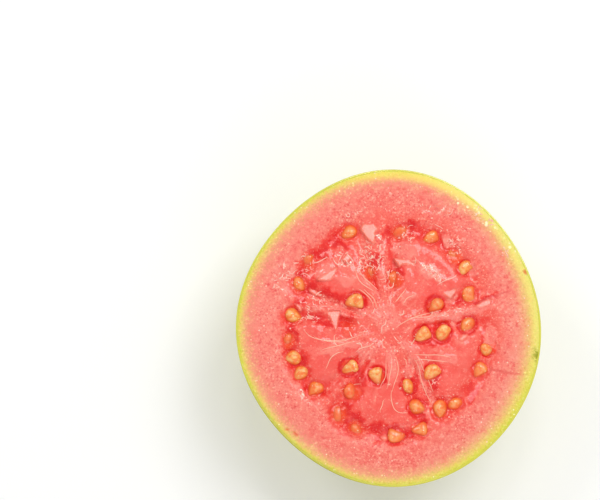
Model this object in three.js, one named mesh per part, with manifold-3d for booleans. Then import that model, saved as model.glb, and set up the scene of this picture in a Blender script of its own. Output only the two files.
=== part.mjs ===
// Half of a ripe guava, cut across its middle. It lies on its rounded stalk end with the cut face up.
// Millimetres, +Z up. The origin is under the middle of the fruit, on the surface that it rests on.
import * as THREE from "three";
import { mergeVertices } from "three/addons/utils/BufferGeometryUtils.js";
import Module from "manifold-3d";

const wasm = await Module();
wasm.setup();

// Driving sizes of the half fruit
const CUT_RADIUS = 36.5; // mean radius of the cut face
const HEIGHT = 40; // from the resting spot up to the cut face
const WIDEST_DROP = 2.5; // the fruit is widest this far under the cut
const REST_RADIUS = 8; // the small flat spot that it rests on
const FULLNESS = 2.15; // 2 gives an ellipse in side view, more gives a blunter end

// The cut outline is a circle with three waves round it: share is of the radius, at is in degrees
const OUTLINE = [
  { lobes: 2, share: 0.02, at: -86 },
  { lobes: 3, share: 0.0095, at: -51 },
  { lobes: 4, share: 0.011, at: -2 },
];
const WAVE_FROM = 0.01; // the waves grow between these heights, as shares of HEIGHT,
const WAVE_TO = 0.6; // so the resting spot stays round

// Soft swellings of the skin between the cut and the resting spot, start and twist, its turn with the height,
// in radians
const SWELLINGS = [
  { lobes: 3, share: 0.011, start: 0.7, twist: 2 },
  { lobes: 5, share: 0.0066, start: 2.1, twist: -4 },
];

// Stalk end, a dimple in the middle of the resting spot with the scar of the stalk in it
const DIMPLE_RADIUS = 4.6;
const DIMPLE_DEPTH = 1.9;
const SCAR_RADIUS = 1.5;
const SCAR_RISE = 0.7;
const SCAR_FLAT = 0.7; // share of the scar's radius that is level

// Five carpels. In each, the seeds line a loop that is open towards the middle of the fruit. at and halfSpan
// are degrees round the fruit, and top is the radius of the loop's outer row. row has the outer seeds' places
// across the carpel, from -1 at one side to 1 at the other. inner has the place across and the radius of each
// seed nearer to the middle. Radii are shares of the cut's.
const CARPELS = [
  {
    at: 54, halfSpan: 32, top: 0.64,
    row: [-0.53, -0.16, 0.33, 0.93],
    inner: [[-0.97, 0.57], [-0.9, 0.35], [0.94, 0.31]],
  },
  {
    at: 133, halfSpan: 24, top: 0.69,
    row: [-0.83, 0.37, 0.87],
    inner: [[-1.02, 0.38], [0.5, 0.28]],
  },
  {
    at: 198, halfSpan: 26, top: 0.665,
    row: [-0.92, -0.46, 0, 0.37, 0.88],
    inner: [[-0.73, 0.27], [1.05, 0.38]],
  },
  {
    at: 262, halfSpan: 26, top: 0.685,
    row: [-0.88, -0.42, 0.42, 0.88],
    inner: [[-0.87, 0.49], [-0.29, 0.31], [0.96, 0.4], [1.05, 0.54]],
  },
  {
    at: 331, halfSpan: 32, top: 0.65,
    row: [-0.94, -0.66, 0.16, 0.56],
    inner: [[0.94, 0.52], [-0.59, 0.4], [0.47, 0.22], [0.72, 0.36]],
  },
];
const LOOP_FOOT = 0.3; // radius of the loop's feet, as a share of the cut's
const LOOP_POWER = 8; // how square the loop's shoulders are
const CORE_FROM = 0.16; // the pulp is level inside this share of the radius,
const CORE_TO = 0.3; // and the loops have their full depth from this one

// Relief of the soft pulp in the cut face
const CHANNEL_DEPTH = 0.9; // the jelly along the loops lies this far under the cut
const CHANNEL_WIDTH = 0.17; // as a share of the loop's size
const LOBE_RISE = 0.25; // the pulp inside each loop swells a little

// Seeds
const SEED_LENGTH = 3.9;
const SEED_WIDTH = 3.15;
const SEED_HEIGHT = 2.4;
const SEED_ROOT = 0.2; // a seed's middle lies this far under the pulp round it
const SEED_SUNK = 0.55; // a seed that the pulp still covers lies this much deeper
const SUNK_SHARE = 0.27;
const SMALLEST = 0.9; // seeds come in this range of sizes
const LARGEST = 1.1;
const ANGLE_PLAY = 1.5; // degrees that a seed strays along its row
const RADIUS_PLAY = 0.012; // and across it, as a share of the cut's radius
const DRAW_SEED = 7027;

// Facets
const ROUND_STEPS = 80;
const FACE_STEPS = 18;
const DOME_STEPS = 13;
const DIMPLE_STEPS = 3;
const SEED_ROUND_STEPS = 8;
const SEED_RISE_STEPS = 6;
const MERGE_GAP = 1e-4; // corners closer than this are one corner

const radians = THREE.MathUtils.degToRad;
const smooth = THREE.MathUtils.smoothstep;
const between = (low, high, share) => low + (high - low) * share;

// A number from 0 to 1, the same on every run, for each pair of whole numbers: the far decimals of a sine
function draw(which, kind) {
  const spread = Math.sin(which * 12.9898 + kind * 78.233 + DRAW_SEED) * 43758.5453;
  return spread - Math.floor(spread);
}

// Radius of the cut outline at an angle, as a share of CUT_RADIUS
function outlineShare(angle) {
  return OUTLINE.reduce((sum, t) => sum + t.share * Math.cos(t.lobes * (angle - radians(t.at))), 1);
}

// Swelling of the skin at an angle and a height from 0 to 1, nothing at the cut or at the resting spot
function swell(angle, rise) {
  const wave = (t) => t.share * Math.sin(t.lobes * angle + t.start + t.twist * rise);
  return SWELLINGS.reduce((sum, t) => sum + wave(t), 0) * Math.sin(Math.PI * rise) ** 2;
}

// How far round a carpel a point lies, -1 and 1 at its two sides, and how far up its loop, 0 at the feet
// and 1 at the outer row
function placeInCarpel(carpel, angle, radiusShare) {
  const turn = angle - radians(carpel.at);
  const across = Math.atan2(Math.sin(turn), Math.cos(turn)) / radians(carpel.halfSpan);
  const up = Math.max(0, (radiusShare - LOOP_FOOT) / (carpel.top - LOOP_FOOT));
  return { across, up };
}

// Height of the pulp over the plane of the cut: a channel along each loop, and a low swelling inside it
function relief(angle, radiusShare) {
  const inward = smooth(radiusShare, CORE_FROM, CORE_TO);
  let height = 0;
  for (const carpel of CARPELS) {
    const { across, up } = placeInCarpel(carpel, angle, radiusShare);
    const size = (Math.abs(across) ** LOOP_POWER + up ** LOOP_POWER) ** (1 / LOOP_POWER);
    const channel = Math.exp(-(((size - 1) / CHANNEL_WIDTH) ** 2));
    const lobe = Math.max(0, 1 - size ** 2);
    height += inward * (LOBE_RISE * lobe - CHANNEL_DEPTH * channel);
  }
  return Math.max(height, -CHANNEL_DEPTH);
}

// Places of the seeds: angle, radius, the way each points, its size, and how far down it is sunk
function seedPlaces() {
  const places = [];
  const put = (carpel, across, radiusShare) => {
    const n = places.length;
    const stray = (draw(n, 1) - 0.5) * 2 * radians(ANGLE_PLAY);
    places.push({
      angle: radians(carpel.at + across * carpel.halfSpan) + stray,
      radiusShare: radiusShare + (draw(n, 2) - 0.5) * 2 * RADIUS_PLAY,
      heading: draw(n, 3) * Math.PI,
      size: between(SMALLEST, LARGEST, draw(n, 4)),
      sunk: draw(n, 5) < SUNK_SHARE ? SEED_SUNK : 0,
    });
  };
  for (const carpel of CARPELS) {
    for (const across of carpel.row) {
      const up = (1 - Math.abs(across) ** LOOP_POWER) ** (1 / LOOP_POWER);
      put(carpel, across, between(LOOP_FOOT, carpel.top, up));
    }
    for (const [across, radiusShare] of carpel.inner) put(carpel, across, radiusShare);
  }
  return places;
}

// Side view of the half fruit, from the stalk scar out over the skin to the cut and back in to the axis
function profile() {
  const points = [
    [0, DIMPLE_DEPTH - SCAR_RISE],
    [SCAR_RADIUS * SCAR_FLAT, DIMPLE_DEPTH - SCAR_RISE],
  ];
  for (let i = 0; i <= DIMPLE_STEPS; i++) {
    const out = i / DIMPLE_STEPS;
    points.push([between(SCAR_RADIUS, DIMPLE_RADIUS, out), DIMPLE_DEPTH * (1 - smooth(out, 0, 1))]);
  }
  points.push([REST_RADIUS, 0]);
  // The skin is a blunt ellipse, (radius / widest)^f + (drop / depth)^f = 1, through the resting spot's edge
  // and the cut's edge, where drop counts down from the widest level
  const restDrop = HEIGHT - WIDEST_DROP;
  const power = (length) => length ** FULLNESS;
  const scale = power(CUT_RADIUS) * power(restDrop) - power(REST_RADIUS) * power(WIDEST_DROP);
  const widest = (scale / (power(restDrop) - power(WIDEST_DROP))) ** (1 / FULLNESS);
  const depth = (scale / (power(CUT_RADIUS) - power(REST_RADIUS))) ** (1 / FULLNESS);
  const restAngle = Math.asin((restDrop / depth) ** (FULLNESS / 2));
  const cutAngle = -Math.asin((WIDEST_DROP / depth) ** (FULLNESS / 2));
  for (let i = 1; i < DOME_STEPS; i++) {
    const angle = between(restAngle, cutAngle, i / DOME_STEPS);
    const radius = widest * Math.cos(angle) ** (2 / FULLNESS);
    const drop = Math.sign(angle) * depth * Math.abs(Math.sin(angle)) ** (2 / FULLNESS);
    points.push([radius, restDrop - drop]);
  }
  for (let i = FACE_STEPS; i >= 0; i--) points.push([(CUT_RADIUS * i) / FACE_STEPS, HEIGHT]);
  return points.map(([radius, height]) => new THREE.Vector2(radius, height));
}

// A geometry as a closed solid for joining
function solidOf(geometry) {
  geometry.deleteAttribute("normal");
  geometry.deleteAttribute("uv");
  const merged = mergeVertices(geometry, MERGE_GAP);
  const triVerts = new Uint32Array(merged.index.array);
  const vertProperties = merged.attributes.position.array;
  return new wasm.Manifold(new wasm.Mesh({ numProp: 3, vertProperties, triVerts }));
}

// The fruit turned from its side view, waved to the outline, swollen, and cut with the relief of the pulp
function fruitSolid() {
  const geometry = new THREE.LatheGeometry(profile(), ROUND_STEPS);
  geometry.rotateX(Math.PI / 2);
  const position = geometry.attributes.position;
  const point = new THREE.Vector3();
  for (let i = 0; i < position.count; i++) {
    point.fromBufferAttribute(position, i);
    const radius = Math.hypot(point.x, point.y);
    const angle = Math.atan2(point.y, point.x);
    const rise = THREE.MathUtils.clamp(point.z / HEIGHT, 0, 1);
    const wave = (outlineShare(angle) - 1) * smooth(rise, WAVE_FROM, WAVE_TO);
    const stretch = 1 + wave + swell(angle, rise);
    const onFace = point.z > HEIGHT - MERGE_GAP;
    const height = onFace ? HEIGHT + relief(angle, radius / CUT_RADIUS) : point.z;
    position.setXYZ(i, point.x * stretch, point.y * stretch, height);
  }
  return solidOf(geometry);
}

// One seed, a rounded grain standing in the pulp with its lower half sunk in it
function seedSolid(place) {
  const geometry = new THREE.SphereGeometry(0.5, SEED_ROUND_STEPS, SEED_RISE_STEPS);
  geometry.rotateX(Math.PI / 2);
  geometry.scale(SEED_LENGTH * place.size, SEED_WIDTH * place.size, SEED_HEIGHT * place.size);
  geometry.rotateZ(place.heading);
  const radius = CUT_RADIUS * place.radiusShare * outlineShare(place.angle);
  const surface = HEIGHT + relief(place.angle, place.radiusShare);
  const middle = surface - SEED_ROOT - place.sunk;
  geometry.translate(radius * Math.cos(place.angle), radius * Math.sin(place.angle), middle);
  return solidOf(geometry);
}

// The half fruit with its seeds joined to it, moved so that the origin is under the middle of its box
function halfGeometry() {
  const whole = seedPlaces().reduce((solid, place) => solid.add(seedSolid(place)), fruitSolid());
  const mesh = whole.getMesh();
  const geometry = new THREE.BufferGeometry();
  geometry.setAttribute("position", new THREE.BufferAttribute(mesh.vertProperties, 3));
  geometry.setIndex(new THREE.BufferAttribute(mesh.triVerts, 1));
  geometry.computeBoundingBox();
  const middle = geometry.boundingBox.getCenter(new THREE.Vector3());
  geometry.translate(-middle.x, -middle.y, 0);
  geometry.computeVertexNormals();
  return geometry;
}

const flesh = new THREE.MeshStandardMaterial({ color: 0xfb8070, roughness: 0.35, metalness: 0 });
const half = new THREE.Mesh(halfGeometry(), flesh);
half.name = "guava_half";

const guava = new THREE.Group();
guava.add(half);

export default guava;
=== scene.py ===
"""Half of a ripe guava, cut across its middle, lying on its stalk end with the cut face up.

The skin, the flesh with its pulp, the seeds, the pale fibres and the curled shreds of torn pulp are surfaces
worked out with numpy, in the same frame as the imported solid. Sizes are in millimetres, and meshes are made
in metres.
"""

import math

import bpy
import numpy as np
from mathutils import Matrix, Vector


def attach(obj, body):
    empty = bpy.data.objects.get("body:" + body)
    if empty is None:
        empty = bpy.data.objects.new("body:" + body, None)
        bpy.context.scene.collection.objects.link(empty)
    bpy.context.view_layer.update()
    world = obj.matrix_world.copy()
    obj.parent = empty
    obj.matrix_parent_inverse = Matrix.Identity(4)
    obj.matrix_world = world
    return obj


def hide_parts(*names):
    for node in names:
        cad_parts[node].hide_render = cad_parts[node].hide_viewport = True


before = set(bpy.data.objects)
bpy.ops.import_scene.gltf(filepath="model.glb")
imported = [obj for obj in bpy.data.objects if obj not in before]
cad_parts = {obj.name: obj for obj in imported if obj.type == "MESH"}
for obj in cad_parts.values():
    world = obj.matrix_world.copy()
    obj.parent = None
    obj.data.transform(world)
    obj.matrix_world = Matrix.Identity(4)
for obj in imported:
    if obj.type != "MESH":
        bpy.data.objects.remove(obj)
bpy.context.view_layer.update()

# Camera
# The photograph looks almost straight at the cut face. The half lies with its face up here, so the camera
# looks down on it, from a little towards its near side, and the fruit sits right of and below the middle.
MM = 0.001
UP = 40.0  # height of the cut face over the table
FRAME_WIDTH_PX = 600
FRAME_HEIGHT_PX = 500
FACE_CENTRE_PX = (389.8, 327.6)
LENS_MM = 100.0
SENSOR_MM = 36.0
CAMERA_ELEVATION = math.radians(85)
CAMERA_DISTANCE = 0.395
NEAREST_SEEN = 0.02
FARTHEST_SEEN = 20
FRUIT_AXIS = Vector((0.31, -0.18, UP)) * MM  # the wavy outline puts it a little off the middle of the box

pixels_across = LENS_MM / SENSOR_MM * FRAME_WIDTH_PX
aim = Vector((0, math.cos(CAMERA_ELEVATION), -math.sin(CAMERA_ELEVATION)))
across = Vector((1, 0, 0))
upward = across.cross(aim)
right_px = FACE_CENTRE_PX[0] - FRAME_WIDTH_PX / 2
down_px = FACE_CENTRE_PX[1] - FRAME_HEIGHT_PX / 2
offset = (across * right_px - upward * down_px) * (CAMERA_DISTANCE / pixels_across)
camera = bpy.data.objects.new("camera", bpy.data.cameras.new("camera"))
camera.data.lens = LENS_MM
camera.data.sensor_width = SENSOR_MM
camera.data.clip_start = NEAREST_SEEN
camera.data.clip_end = FARTHEST_SEEN
camera.location = FRUIT_AXIS - aim * CAMERA_DISTANCE - offset
camera.rotation_mode = "QUATERNION"
camera.rotation_quaternion = aim.to_track_quat("-Z", "Y")
bpy.context.scene.collection.objects.link(camera)
bpy.context.scene.camera = camera

# Table and light
# A plain white table, a pale even sky, and soft square lamps. The largest stands beyond the fruit on the
# right, and is what the wet pulp mirrors.
SKY_STRENGTH = 0.56
LAMPS = [
    # name, direction round the fruit and height over the horizon in degrees, distance and side in metres,
    # light that it gives a white sheet under it
    ("window", 50, 62, 0.60, 0.24, 0.34),
    ("left_window", 140, 52, 0.60, 0.13, 0.10),
    ("top_window", 95, 66, 0.60, 0.09, 0.07),
    ("front_fill", -80, 35, 0.80, 0.50, 0.08),
]

world = bpy.data.worlds.new("pale_sky")
world.use_nodes = True
world.node_tree.nodes["Background"].inputs["Color"].default_value = (1.0, 1.0, 1.0, 1.0)
world.node_tree.nodes["Background"].inputs["Strength"].default_value = SKY_STRENGTH
bpy.context.scene.world = world
bpy.context.scene.view_settings.view_transform = "Standard"
for name, round_deg, height_deg, distance, side, share in LAMPS:
    rise = math.radians(height_deg)
    turn = math.radians(round_deg)
    away = Vector((math.cos(turn) * math.cos(rise), math.sin(turn) * math.cos(rise), math.sin(rise)))
    lamp = bpy.data.objects.new(name, bpy.data.lights.new(name, "AREA"))
    lamp.data.size = side
    lamp.data.energy = share * (math.pi * distance) ** 2 / math.sin(rise)
    lamp.location = Vector((0, 0, UP * MM)) + away * distance
    lamp.rotation_mode = "QUATERNION"
    lamp.rotation_quaternion = (-away).to_track_quat("-Z", "Y")
    bpy.context.scene.collection.objects.link(lamp)


class Tone:
    """A value in a material, such as a mask. Sums written with it add the Math nodes that work them out."""

    def __init__(self, finish, socket):
        self.finish = finish
        self.socket = socket

    def _math(self, operation, *terms):
        """Adds the Math node of an operation on the terms."""
        return self.finish.node("ShaderNodeMath", {"operation": operation}, dict(enumerate(terms)))

    def __add__(self, other):
        return self._math("ADD", self, other)

    __radd__ = __add__

    def __sub__(self, other):
        return self._math("SUBTRACT", self, other)

    def __rsub__(self, other):
        return self._math("SUBTRACT", other, self)

    def __mul__(self, other):
        return self._math("MULTIPLY", self, other)

    __rmul__ = __mul__

    def __truediv__(self, other):
        return self._math("DIVIDE", self, other)

    def __rtruediv__(self, other):
        return self._math("DIVIDE", other, self)

    def __abs__(self):
        return self._math("ABSOLUTE", self)

    def over(self, low, high):
        """How far the value has come from low to high, from 0 to 1, eased at both ends."""
        settings = {"interpolation_type": "SMOOTHSTEP"}
        return self.finish.node("ShaderNodeMapRange", settings, {0: self, 1: low, 2: high, 3: 0.0, 4: 1.0})


def colour(red, green, blue):
    """A shader colour from the 0 to 255 values of a screen colour: below 0.04 the value over 12.92, above it
    ((value + 0.055) / 1.055) to the power 2.4."""
    shares = [value / 255 for value in (red, green, blue)]
    return [s / 12.92 if s <= 0.04045 else ((s + 0.055) / 1.055) ** 2.4 for s in shares] + [1.0]


class Finish:
    """One material: its Principled shader, with the constants given, and the nodes that feed it. A socket's
    name is written with _ where it has a space."""

    def __init__(self, name, **constants):
        self.material = bpy.data.materials.new(name)
        self.material.use_nodes = True
        self.tree = self.material.node_tree
        self.shader = self.tree.nodes["Principled BSDF"]
        self.tint = None
        for socket, value in constants.items():
            self.shader.inputs[socket.replace("_", " ")].default_value = value

    def node(self, kind, settings=None, inputs=None, output=0):
        """Adds a node: its settings first, a ramp's stops among them, then the values or links of its
        inputs. Gives back one of its outputs."""
        made = self.tree.nodes.new(kind)
        for key, value in (settings or {}).items():
            if key == "stops":
                self._stops(made.color_ramp, value)
            else:
                setattr(made, key, value)
        for key, value in (inputs or {}).items():
            self.feed(made.inputs[key], value)
        return Tone(self, made.outputs[output])

    def _stops(self, ramp, stops):
        """Sets the stops of a ramp, each a place from 0 to 1 and the colour there."""
        while len(ramp.elements) < len(stops):
            ramp.elements.new(1.0)
        for element, (place, tint) in zip(ramp.elements, stops):
            element.position = place
            element.color = tint

    def feed(self, socket, value):
        """Links a value that nodes work out to a socket, or sets a constant on it."""
        if isinstance(value, Tone):
            self.tree.links.new(value.socket, socket)
        else:
            socket.default_value = value

    def set(self, **links):
        """Feeds the shader's own sockets."""
        for socket, value in links.items():
            self.feed(self.shader.inputs[socket.replace("_", " ")], value)

    def place(self):
        """The point's place on the piece, in metres."""
        return self.node("ShaderNodeTexCoord", output="Object")

    def mark(self, name):
        """A value stored at the mesh's points."""
        return self.node("ShaderNodeAttribute", {"attribute_name": name}, output="Fac")

    def noise(self, size, detail=2.0, rough=0.5):
        """Cloudy noise from 0 to 1 with lumps of a size in millimetres."""
        inputs = {"Vector": self.place(), "Scale": 1 / (size * MM), "Detail": detail, "Roughness": rough}
        return self.node("ShaderNodeTexNoise", {}, inputs)

    def cells(self, size):
        """How far the nearest of points strewn a size in millimetres apart is, as a share of that size."""
        inputs = {"Vector": self.place(), "Scale": 1 / (size * MM)}
        return self.node("ShaderNodeTexVoronoi", {}, inputs, "Distance")

    def mix(self, share, low, high):
        """A colour between two others, where share goes from 0 to 1."""
        settings = {"data_type": "RGBA", "clamp_factor": True}
        return self.node("ShaderNodeMix", settings, {"Factor": share, 6: low, 7: high}, output=2)

    def lay(self, share, shade):
        """Lays a colour over the ones so far, as thickly as share says, from 0 to 1."""
        self.tint = self.mix(share, self.tint, shade)

    def facing(self, direction, low, high):
        """1 far out in a direction and 0 elsewhere: how far a point lies out, the dot product of its place
        and the direction, eased from low to high in millimetres."""
        inputs = {0: self.place(), 1: direction}
        out = self.node("ShaderNodeVectorMath", {"operation": "DOT_PRODUCT"}, inputs, output="Value")
        return out.over(low * MM, high * MM)

    def bump(self, height, depth, under=None):
        """A bump whose height value of 1 stands for a depth in millimetres."""
        inputs = {"Height": height, "Strength": 1.0, "Distance": depth * MM}
        if under is not None:
            inputs["Normal"] = under
        return self.node("ShaderNodeBump", {}, inputs)


TABLE_HALF = 1.6
table_mesh = bpy.data.meshes.new("table")
corners = [(-TABLE_HALF, -TABLE_HALF, 0), (TABLE_HALF, -TABLE_HALF, 0), (TABLE_HALF, TABLE_HALF, 0)]
table_mesh.from_pydata(corners + [(-TABLE_HALF, TABLE_HALF, 0)], [], [(0, 1, 2, 3)])
table = bpy.data.objects.new("table", table_mesh)
bpy.context.scene.collection.objects.link(table)
matt_white = Finish("matt_white_table", Base_Color=colour(253, 253, 253), Roughness=0.8)
table_mesh.materials.append(matt_white.material)

# Skin
# The thin, tough, glossy peel grew with the flesh and was cut through with it, so its cut edge is the narrow
# rim round the face. Underneath it dips in to the corky scar of the stalk.
CUT_RADIUS = 36.5
WIDEST_DROP = 2.5  # the fruit is widest this far below the cut
REST_RADIUS = 8.0
FULLNESS = 2.15  # 2 is an ellipse, and more is blunter
WAVES = [(2, 0.020, -86), (3, 0.0095, -51), (4, 0.011, -2)]  # lobes, share of the radius, degrees
SWELL_SHARE = 0.011
DIMPLE_RADIUS = 4.6
DIMPLE_DEPTH = 1.9
SCAR_RADIUS = 1.5
SCAR_RISE = 0.7
PEEL = 0.6
RIM_WIDTH = 0.5
# The skin's cut edge, in steps out and up from the corner between its side and the cut
CUT_EDGE = [(0, -0.10), (-0.03, -0.03), (-0.12, 0), (-0.3, 0.02), (-RIM_WIDTH, 0), (-PEEL, -0.35)]
ROUND_STEPS = 640
SIDE_ROWS = 74
UNDER_ROWS = 34
UNDER_START = 0.12
INNER_SIDE_ROWS = 24
INNER_UNDER_ROWS = 8
INNER_START = 1.0
LIP_DROP = 1.6  # the skin begins to turn yellow this close to the cut
LIP_YELLOW = 0.2  # and is yellow this close
SKIN_LIP = colour(210, 205, 66)
SKIN_GREEN = colour(194, 194, 34)
SKIN_YELLOW = colour(224, 218, 56)
SKIN_SHADE = colour(164, 160, 16)
SKIN_SCAR = colour(120, 88, 40)
SKIN_SHADED_OLIVE = colour(170, 164, 24)
SKIN_BRUISED = colour(148, 126, 22)
SKIN_SPECK = colour(84, 70, 20)
SKIN_GRAIN = colour(232, 228, 104)
SKIN_PORE = colour(232, 228, 120)
# Directions from the core: on the first the rim and the skin's lip are painted darker green as shade, on the
# second the rind is yellower, and on the third a pale yellow-white sheen is painted over the rind
SHADED_SIDE = (-0.64, -0.77, 0.0)
YELLOWER_SIDE = (0.2, 0.98, 0.0)
SHEEN_SIDE = (0.88, 0.47, 0.0)
RIM_FADES = (0.8 * CUT_RADIUS, 0.98 * CUT_RADIUS)  # how far out on a side its colour begins and is full
SHEEN_FADES = (0.5 * CUT_RADIUS, 0.9 * CUT_RADIUS)
LATTICE = 97


def ease(low, high, value):
    """0 below low, 1 above high, and 3t^2 - 2t^3 between, where t is how far value has come."""
    t = np.clip((value - low) / (high - low), 0, 1)
    return t * t * (3 - 2 * t)


def outline(angle):
    """The cut's radius at each angle as a share of its mean: 1, and a cosine wave for each of WAVES."""
    return 1 + sum(share * np.cos(lobes * (angle - math.radians(at))) for lobes, share, at in WAVES)


def lumps(x, y, size, seed):
    """Smooth noise from -1 to 1: random heights on a square lattice of a size, blended by the ease curve."""
    heights = np.random.default_rng(seed).uniform(-1, 1, (LATTICE, LATTICE))
    i = np.floor(x / size).astype(int)
    j = np.floor(y / size).astype(int)
    u = ease(0, 1, x / size - i)
    v = ease(0, 1, y / size - j)
    left, right = i % LATTICE, (i + 1) % LATTICE
    near, far = j % LATTICE, (j + 1) % LATTICE
    low = heights[left, near] * (1 - u) + heights[right, near] * u
    high = heights[left, far] * (1 - u) + heights[right, far] * u
    return low * (1 - v) + high * v


def turned(angle, radius, height):
    """Points of a side view turned to each angle. The radius is stretched by the outline, which fades in over
    the lower part of the fruit, and by swellings: sine waves round the fruit times sin^2 of the height."""
    rise = np.clip(height / UP, 0, 1)
    wave = (outline(angle) - 1) * ease(0.01, 0.6, rise)
    swell = np.sin(3 * angle + 0.7 + 2 * rise) + 0.6 * np.sin(5 * angle + 2.1 - 4 * rise)
    stretch = 1 + wave + SWELL_SHARE * np.sin(math.pi * rise) ** 2 * swell
    reach = radius * stretch
    return np.stack([reach * np.cos(angle), reach * np.sin(angle), height + 0 * angle], -1)


def dome(steps, inset):
    """Side view of the skin from the resting spot's edge to the cut, as radius and height: the blunt ellipse
    (radius / widest)^f + (drop / depth)^f = 1 through both, moved inwards by inset along its normal."""
    rest_drop = UP - WIDEST_DROP
    cut, rest = CUT_RADIUS**FULLNESS, REST_RADIUS**FULLNESS
    above, below = WIDEST_DROP**FULLNESS, rest_drop**FULLNESS
    scale = cut * below - rest * above
    widest = (scale / (below - above)) ** (1 / FULLNESS)
    depth = (scale / (cut - rest)) ** (1 / FULLNESS)
    low = math.asin((rest_drop / depth) ** (FULLNESS / 2))
    high = -math.asin((WIDEST_DROP / depth) ** (FULLNESS / 2))
    t = np.linspace(low, high, steps)
    radius = widest * np.cos(t) ** (2 / FULLNESS)
    drop = np.sign(t) * depth * np.abs(np.sin(t)) ** (2 / FULLNESS)
    path = np.stack([radius, rest_drop - drop], -1)
    along = np.gradient(path, axis=0)
    along /= np.linalg.norm(along, axis=1, keepdims=True)
    return path - inset * np.stack([along[:, 1], -along[:, 0]], -1)


def underside(radius, thick):
    """Height of the skin inside the resting spot: the dimple, eased in between two radii, and in its middle
    the stalk's scar, which stands down from it. The inner face lies thick above and has no scar."""
    dimple = DIMPLE_DEPTH * (1 - ease(0.45 * DIMPLE_RADIUS, DIMPLE_RADIUS, radius))
    scar = SCAR_RISE * (1 - ease(0.7 * SCAR_RADIUS, SCAR_RADIUS, radius))
    return dimple + thick - (scar if thick == 0 else 0)


def closed_mesh(name, rings, **marks):
    """A mesh of closed bodies. rings is an array of bodies, rings, points round a ring and x, y, z in
    millimetres. Bands of quads join each ring to the next, and a fan closes each end. marks are values at
    the points, in arrays of bodies, rings and points, which materials read by name."""
    bodies, rows, steps = rings.shape[:3]
    ends = [rings[:, 0].mean(1), rings[:, -1].mean(1)]
    points = np.concatenate([rings.reshape(-1, 3), *ends]) * MM
    index = np.arange(bodies * rows * steps).reshape(bodies, rows, steps)
    beside = np.roll(index, -1, 2)
    quads = np.stack([index[:, :-1], beside[:, :-1], beside[:, 1:], index[:, 1:]], -1).reshape(-1, 4)
    first = np.broadcast_to(index.size + np.arange(bodies)[:, None], (bodies, steps))
    last = first + bodies
    start_fan = np.stack([first, beside[:, 0], index[:, 0]], -1).reshape(-1, 3)
    end_fan = np.stack([last, index[:, -1], beside[:, -1]], -1).reshape(-1, 3)
    fans = np.concatenate([start_fan, end_fan])
    triangles = np.concatenate([quads[:, :3], quads[:, [0, 2, 3]], fans])
    a, b, c = (points[triangles[:, k]] for k in range(3))
    if np.einsum("ij,ij->i", a, np.cross(b, c)).sum() < 0:
        quads = quads[:, ::-1]
        fans = fans[:, ::-1]
    mesh = bpy.data.meshes.new(name)
    mesh.vertices.add(len(points))
    mesh.vertices.foreach_set("co", points.ravel())
    mesh.loops.add(quads.size + fans.size)
    mesh.loops.foreach_set("vertex_index", np.concatenate([quads.ravel(), fans.ravel()]))
    mesh.polygons.add(len(quads) + len(fans))
    starts = np.concatenate([np.arange(len(quads)) * 4, quads.size + np.arange(len(fans)) * 3])
    mesh.polygons.foreach_set("loop_start", starts)
    mesh.polygons.foreach_set("use_smooth", np.ones(len(starts), bool))
    mesh.update(calc_edges=True)
    for mark, values in marks.items():
        values = np.broadcast_to(values, rings.shape[:3])
        flat = np.concatenate([values.reshape(-1), values[:, 0].mean(1), values[:, -1].mean(1)])
        mesh.attributes.new(mark, "FLOAT", "POINT").data.foreach_set("value", flat.astype(np.float32))
    piece = bpy.data.objects.new(name, mesh)
    bpy.context.scene.collection.objects.link(piece)
    return piece


def finished(piece, finish):
    """Gives a piece its material and says what it is to the frame."""
    piece.data.materials.append(finish.material)
    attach(piece, "root")
    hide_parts("guava_half")


angle = np.linspace(0, 2 * math.pi, ROUND_STEPS, endpoint=False)
under_radius = np.linspace(UNDER_START, REST_RADIUS, UNDER_ROWS)[:-1]
under_path = np.stack([under_radius, underside(under_radius, 0)], -1)
outer_path = np.concatenate([under_path, dome(SIDE_ROWS, 0)[:-1]])
inner_radius = np.linspace(INNER_START, REST_RADIUS, INNER_UNDER_ROWS)[:-1]
inner_under_path = np.stack([inner_radius, underside(inner_radius, PEEL)], -1)
inner_path = np.concatenate([inner_under_path, dome(INNER_SIDE_ROWS, PEEL)[1:-1]])
rim_path = np.array([CUT_RADIUS, UP]) + np.array(CUT_EDGE)
skin_path = np.concatenate([outer_path, rim_path, inner_path[::-1]])
skin_rings = turned(angle[None, :], skin_path[:, 0, None], skin_path[:, 1, None])
# The frame's origin is under the middle of the box, which the wavy outline puts a little off the core
core = (skin_rings.reshape(-1, 3).max(0) + skin_rings.reshape(-1, 3).min(0))[:2] / 2
skin_rings[..., :2] -= core
lip = ease(UP - LIP_DROP, UP - LIP_YELLOW, skin_rings[..., 2])
scar = 1 - ease(0.9 * SCAR_RADIUS, 1.5 * SCAR_RADIUS, skin_path[:, 0])
skin = closed_mesh("guava_skin", skin_rings[None], lip=lip[None], scar=scar[None, :, None])

peel = Finish("guava_peel", Coat_Weight=0.6, Coat_Roughness=0.07, IOR=1.45)
broad = peel.noise(13, 3.0)
blotch = peel.noise(3.4, 4.0, 0.65)
pore = peel.cells(1.6)
peel.tint = peel.mix(broad.over(0.36, 0.64), SKIN_GREEN, SKIN_YELLOW)
peel.lay(blotch.over(0.5, 0.75) * 0.4, SKIN_SHADE)
peel.lay(peel.noise(7.0, 5.0, 0.7).over(0.56, 0.74) * 0.55, SKIN_BRUISED)
fine_grain = peel.noise(0.55, 3.0, 0.7)
peel.lay((1 - fine_grain.over(0.33, 0.5)) * 0.3, SKIN_SHADE)
peel.lay(fine_grain.over(0.55, 0.7) * 0.25, SKIN_GRAIN)
peel.lay((1 - pore.over(0.05, 0.16)) * 0.3, SKIN_PORE)
specks = 1 - (peel.cells(2.4) + peel.noise(0.5, 2.0) * 0.12).over(0.12, 0.19)
peel.lay(specks * peel.noise(9.0).over(0.5, 0.6) * 0.75, SKIN_SPECK)
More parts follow.
